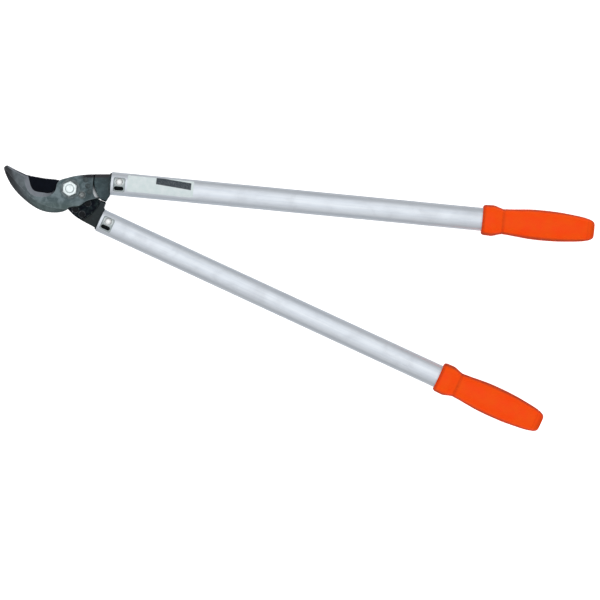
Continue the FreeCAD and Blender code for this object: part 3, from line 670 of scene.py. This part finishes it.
def arm(side, paint):
    """A forged arm, its tang bare inside the tube with a painted highlight round the rivet, painted
    shade towards the tube. The upper one has painted shade along its top.
    """
    node = side + "_arm"
    piece = refined(node, 0.2 * MM, 0.6 * MM, 2.5 * MM)
    at = mesh_points(piece)
    local = along_handle(at, HANDLES[side])
    add_attribute(piece, "tang", ramp(local[:, 0], -0.5, 0.3))
    # painted highlight round the rivet
    rivet = along_handle(points_of(side + "_tube_rivet"), HANDLES[side])
    off = (local - (rivet.min(0) + rivet.max(0)) / 2)[:, :2] / HIGHLIGHT_HALF
    add_attribute(piece, "rubbed_and_highlight", 1 - ramp(np.linalg.norm(off, axis=1), 0.7, 1.1))
    x, y = at[:, 0] / MM, at[:, 1] / MM
    columns = np.arange(x.min(), x.max(), 1.0)
    tops = np.array([y[np.abs(x - column) < 1.2].max() for column in columns])
    # painted shade along the upper arm's top, strongest on faces that look up
    band_shade = (1 - ramp(np.interp(x, columns, tops) - y, 3.6, 6.0)) * (local[:, 0] < 0)
    band_shade = band_shade * on_top(normals_of(piece))
    add_attribute(piece, "band_shade", band_shade if side == "upper" else band_shade * 0)
    # painted shade, rising towards the tube
    add_attribute(piece, "shade_to_tube", ramp(local[:, 0], -24, 0))
    stands_for(piece, node, paint)


def tube(side, axes):
    """A drawn tube, its inside rough and painted dark as shade."""
    node = side + "_tube"
    piece = refined(node, 0.2 * MM, 0.8 * MM, 7.0 * MM, sharp=35.0)
    local = along_handle(mesh_points(piece), axes)
    facing = normals_of(piece) @ np.array(axes.to_3x3())
    add_attribute(piece, "inside", ramp(-outwardness(facing, local), 0.0, 0.3))
    stands_for(piece, node, tube_aluminium(side + "_tube_aluminium", axes))


# sunk rings of a grip: distance from its front, half width and depth, in millimetres
GRIP_LINES = ((28.5, 1.8, 0.45), (143.0, 1.0, 0.22))
# depth of the parting line along each side, in millimetres
GRIP_PART_LINE = 0.16


def grip(side, axes):
    """A moulded grip: sunk rings at the waist and the cap, a parting line along each side."""
    node = side + "_grip"
    piece = refined(node, 0.3 * MM, 1.2 * MM, 3.0 * MM, sharp=40.0)
    at = mesh_points(piece)
    local = along_handle(at, axes)
    normals = normals_of(piece)
    facing = normals @ np.array(axes.to_3x3())
    outside = ramp(outwardness(facing, local), 0.5, 0.8)
    start = local[:, 0].min()
    sunk = np.zeros(len(at))
    for place, half, depth in GRIP_LINES:
        off = np.abs(local[:, 0] - start - place) / half
        sunk = np.maximum(sunk, depth * (1 - ramp(off, 0.2, 1.6)))
    seam = GRIP_PART_LINE * (1 - ramp(np.abs(local[:, 2]), 0.2, 1.1))
    sunk = np.maximum(sunk, seam) * outside
    move_points(piece, at - normals * (sunk * MM)[:, None])
    rear = local[:, 0].max()
    # painted shade along the flange's front edge
    flange = 1 - ramp(local[:, 0] - start, 1.5, 5.0)
    cap = ramp(local[:, 0], rear - 8.0, rear - 2.0)
    deepest = max(depth for _, _, depth in GRIP_LINES)
    add_attribute(piece, "groove", np.clip(sunk / deepest, 0, 1) * 0.3 + 0.5 * flange)
    along, across = local[:, 0], np.abs(local[:, 1])
    columns = np.arange(start, rear, 2.0)
    halves = np.array([across[np.abs(along - column) < 2.5].max() for column in columns])
    share = across / np.interp(along, columns, halves)
    # painted shade on the sides, strongest on faces that look up, and on the cap end
    edge = ramp(share, 0.74, 0.94) * (0.35 + 0.45 * ramp(facing[:, 2], 0.0, 0.4))
    add_attribute(piece, "side", np.clip(edge + 0.4 * cap, 0, 0.8))
    stands_for(piece, node, grip_plastic(node + "_plastic", axes))


THREAD_PITCH = 1.0 * MM
THREAD_DEPTH = 0.4 * MM


def bolt(material):
    """The pivot bolt with a thread on the end that stands out of the nut."""
    piece = refined("pivot_bolt", 0.2 * MM, 0.3 * MM, 1.2 * MM)
    at = mesh_points(piece)
    nut_top = points_of("pivot_nut")[:, 2].max()
    radius = np.hypot(at[:, 0], at[:, 1])
    turn = np.arctan2(at[:, 1], at[:, 0]) / (2 * math.pi)
    thread = 0.5 - 0.5 * np.cos(2 * math.pi * (at[:, 2] / THREAD_PITCH - turn))
    bare = at[:, 2] > nut_top
    shank = radius[bare].max()
    sunk = THREAD_DEPTH * thread * bare * ramp(radius, shank - 0.3 * MM, shank - 0.05 * MM)
    at[:, :2] *= (1 - sunk / np.maximum(radius, MM))[:, None]
    move_points(piece, at)
    stands_for(piece, "pivot_bolt", material)


def hardware(node, material, width=0.2 * MM):
    """A small fastener with broken edges."""
    stands_for(refined(node, width, 0.4 * MM, 1.5 * MM), node, material)


hook()
blade()
arm("upper", arm_paint("upper_arm_paint", srgb(40, 58, 62), srgb(64, 82, 86), srgb(86, 101, 104)))
arm("lower", arm_paint("lower_arm_paint", srgb(6, 13, 13), srgb(24, 34, 35), srgb(46, 58, 58)))
BRIGHT = plated_steel("bright_steel", srgb(242, 252, 252), 0.34, 0.5, dull=0.1)
bolt(BRIGHT)
hardware("pivot_nut", BRIGHT)
hardware("rear_washer", BRIGHT)
hardware("lock_screw", plated_steel("lock_screw_steel", srgb(150, 156, 156), 0.35, 0.5))
dress("pivot_bush", plated_steel("bush_steel", srgb(170, 170, 168), 0.25, 0.4))
LOCK = plated_steel("lock_plate_steel", srgb(112, 122, 124), 0.4, 0.55)
hardware("lock_plate", LOCK, width=0.15 * MM)
dress("hook_rivets", plated_steel("rivet_steel", srgb(84, 94, 96), 0.4, 0.55))
dress("blade_rivets", plated_steel("black_rivet", srgb(34, 36, 38), 0.4, 0.55))
TUBE_RIVET = plated_steel("tube_rivet_steel", srgb(250, 253, 252), 0.34, 0.48, dull=0.06, metal=0.45)
RUBBER = dull_plastic("buffer_rubber", srgb(22, 22, 23), srgb(40, 40, 41))
PLUG = dull_plastic("plug_plastic", srgb(24, 24, 26), srgb(40, 40, 42))
for side, axes in HANDLES.items():
    tube(side, axes)
    grip(side, axes)
    dress(side + "_tube_rivet", TUBE_RIVET)
    dress(side + "_buffer", RUBBER)
    dress(side + "_tube_plug", PLUG)
dress("tube_label", label_film())


# ---------------------------------------------------------------- stage
# plan point that the floor and the lamps are centred on
STAGE_MIDDLE = (0.3, -0.1)
FLOOR_HALF_SIDE = 12.0
# the floor lies this far under the lowest point
FLOOR_GAP = 0.5 * MM
# grey level of the surroundings by height, from straight below at 0 to straight above at 1
SKY_TONES = ((0.0, 0.7), (0.4, 0.68), (0.48, 0.5), (0.56, 0.42), (0.75, 0.58), (0.9, 0.8), (1.0, 0.88))
LAMP_SIDE = 3.0
# each lamp's name, place, power in watts, and whether it shows in reflections
LAMPS = (("key", (0.0, 0.45, 2.7), 8.0, True), ("fill", (*STAGE_MIDDLE, 2.7), 20.0, False))


def lay_floor():
    """A pale floor that glows a little, like the photo's plain background."""
    bm = bmesh.new()
    bmesh.ops.create_grid(bm, x_segments=1, y_segments=1, size=FLOOR_HALF_SIDE)
    floor = finished_object(bm, "floor")
    look = Look("floor", specular_ior_level=0.0)
    look.feed(look.shader.inputs["Emission Color"], (1.0, 1.0, 1.0))
    look.shader.inputs["Emission Strength"].default_value = 0.8
    floor.data.materials.append(look.done((0.9, 0.9, 0.9), 0.9))
    floor.location = (*STAGE_MIDDLE, cad_low.z - FLOOR_GAP)
    floor.visible_glossy = False


def surround():
    """Surroundings that are grey at the sides and bright overhead."""
    world = bpy.data.worlds.new("studio")
    bpy.context.scene.world = world
    world.use_nodes = True
    tree = world.node_tree
    coords = tree.nodes.new("ShaderNodeTexCoord")
    split = tree.nodes.new("ShaderNodeSeparateXYZ")
    tones = tree.nodes.new("ShaderNodeValToRGB")
    tree.links.new(coords.outputs["Generated"], split.inputs[0])
    shift = tree.nodes.new("ShaderNodeMath")
    shift.operation = "MULTIPLY_ADD"
    shift.inputs[1].default_value = 0.5
    shift.inputs[2].default_value = 0.5
    tree.links.new(split.outputs[2], shift.inputs[0])
    tree.links.new(shift.outputs[0], tones.inputs[0])
    while len(tones.color_ramp.elements) < len(SKY_TONES):
        tones.color_ramp.elements.new(0.5)
    for element, (place, level) in zip(tones.color_ramp.elements, SKY_TONES):
        element.position = place
        element.color = (level, level, level * 1.02, 1.0)
    tree.links.new(tones.outputs[0], tree.nodes["Background"].inputs["Color"])
    tree.nodes["Background"].inputs["Strength"].default_value = 1.0


def hang_lamps():
    """Broad soft lamps overhead, turned to the middle of the stage."""
    target = Vector((*STAGE_MIDDLE, 0))
    for name, place, energy, glossy in LAMPS:
        data = bpy.data.lights.new(name, "AREA")
        data.shape = "RECTANGLE"
        data.size = LAMP_SIDE
        data.size_y = LAMP_SIDE
        data.energy = energy
        lamp = bpy.data.objects.new(name, data)
        lamp.location = place
        lamp.rotation_euler = (target - lamp.location).to_track_quat("-Z", "Y").to_euler()
        lamp.visible_camera = False
        lamp.visible_glossy = glossy
        bpy.context.scene.collection.objects.link(lamp)


# width of the view at the height of the camera's target, and that height
VIEW_WIDTH = 0.8114
TARGET_HEIGHT = 0.015
# where the camera looks, from the middle of the CAD box
VIEW_OFFSET = (0.0145, -0.0034)
VIEW_ROLL = math.radians(5.54)


def camera():
    """A long lens straight above, turned a little about the vertical."""
    data = bpy.data.cameras.new("camera")
    data.lens = 200.0
    data.sensor_width = 36.0
    data.clip_end = 50.0
    rig = bpy.data.objects.new("camera", data)
    middle = (cad_low + cad_high) / 2
    distance = VIEW_WIDTH * data.lens / data.sensor_width
    rig.location = (middle.x + VIEW_OFFSET[0], middle.y + VIEW_OFFSET[1], TARGET_HEIGHT + distance)
    rig.rotation_euler = (0, 0, VIEW_ROLL)
    bpy.context.scene.collection.objects.link(rig)
    bpy.context.scene.camera = rig


lay_floor()
surround()
hang_lamps()
camera()
bpy.context.scene.view_settings.view_transform = "Standard"
